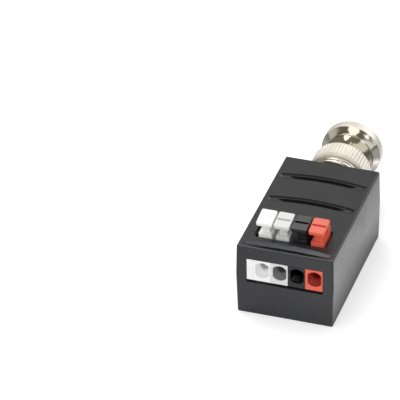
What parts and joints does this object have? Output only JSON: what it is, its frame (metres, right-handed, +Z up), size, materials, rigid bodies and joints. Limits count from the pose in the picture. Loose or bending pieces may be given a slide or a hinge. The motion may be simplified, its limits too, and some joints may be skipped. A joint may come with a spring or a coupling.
{
  "type": "video balun",
  "caption": "Black plastic video balun: a small box with a row of push-button wire terminals at one end and a bayonet coaxial plug at the other.",
  "frame": {"origin": "centre of the box's flat underside", "axes": "+Z up, +Y along the plug, wire ports face -Y, +X to the right as seen from the wire ports"},
  "size_m": [0.0228, 0.0543, 0.0229],
  "materials": {
    "case_plastic": "satin",
    "white_plastic": "satin",
    "grey_plastic": "satin",
    "black_plastic": "satin",
    "red_plastic": "satin",
    "nickel_plate": "satin",
    "tinned_metal": "satin",
    "spring_metal": "satin",
    "pin_metal": "polished",
    "insulator_plastic": "satin",
    "gasket_rubber": "matte",
    "board": "satin",
    "ferrite": "matte",
    "winding_wire": "gloss",
    "component_black": "matte",
    "chip_ceramic": "satin"
  },
  "bodies": {
    "case": {"top_cover": "case_plastic", "bottom_case": "case_plastic", "circuit_board": "board", "toroid_core": "ferrite", "toroid_winding": "winding_wire", "transient_suppressor": "component_black", "chip_capacitor": "chip_ceramic", "chip_resistors": "component_black", "terminal_end_plate": "white_plastic", "connector_body": "nickel_plate", "connector_insulator": "insulator_plastic", "centre_pin": "pin_metal", "face_gasket": "gasket_rubber", "connector_collar": "nickel_plate", "lock_nut": "nickel_plate", "ground_tag": "tinned_metal", "signal_lead": "tinned_metal", "spring_washer": "spring_metal", "terminal_housing_white": "white_plastic", "contact_bar_white": "tinned_metal", "clamp_spring_white": "spring_metal", "terminal_housing_grey": "grey_plastic", "contact_bar_grey": "tinned_metal", "clamp_spring_grey": "spring_metal", "terminal_housing_black": "black_plastic", "contact_bar_black": "tinned_metal", "clamp_spring_black": "spring_metal", "terminal_housing_red": "red_plastic", "contact_bar_red": "tinned_metal", "clamp_spring_red": "spring_metal"},
    "button_white": {"push_button_white": "white_plastic"},
    "button_grey": {"push_button_grey": "grey_plastic"},
    "button_black": {"push_button_black": "black_plastic"},
    "button_red": {"push_button_red": "red_plastic"},
    "thrust_washer": {"thrust_washer": "nickel_plate"},
    "coupling_nut": {"coupling_nut": "nickel_plate"}
  },
  "joints": [
    {"name": "button_white_press", "type": "slide", "parent": "case", "child": "button_white", "axis": [0, 0, -1], "range_m": [0, 0.0015], "stiffness_N_per_m": 1500, "deforming": ["clamp_spring_white"]},
    {"name": "button_grey_press", "type": "slide", "parent": "case", "child": "button_grey", "axis": [0, 0, -1], "range_m": [0, 0.0015], "stiffness_N_per_m": 1500, "deforming": ["clamp_spring_grey"]},
    {"name": "button_black_press", "type": "slide", "parent": "case", "child": "button_black", "axis": [0, 0, -1], "range_m": [0, 0.0015], "stiffness_N_per_m": 1500, "deforming": ["clamp_spring_black"]},
    {"name": "button_red_press", "type": "slide", "parent": "case", "child": "button_red", "axis": [0, 0, -1], "range_m": [0, 0.0015], "stiffness_N_per_m": 1500, "deforming": ["clamp_spring_red"]},
    {"name": "nut_pull", "type": "slide", "parent": "case", "child": "thrust_washer", "axis": [0, 1, 0], "range_m": [0, 0.0006], "stiffness_N_per_m": 3000, "deforming": ["spring_washer"]},
    {"name": "nut_turn", "type": "hinge", "parent": "thrust_washer", "child": "coupling_nut", "pos_m": [0.0002, 0.024, 0.0122], "axis": [0, 1, 0], "continuous": true}
  ]
}
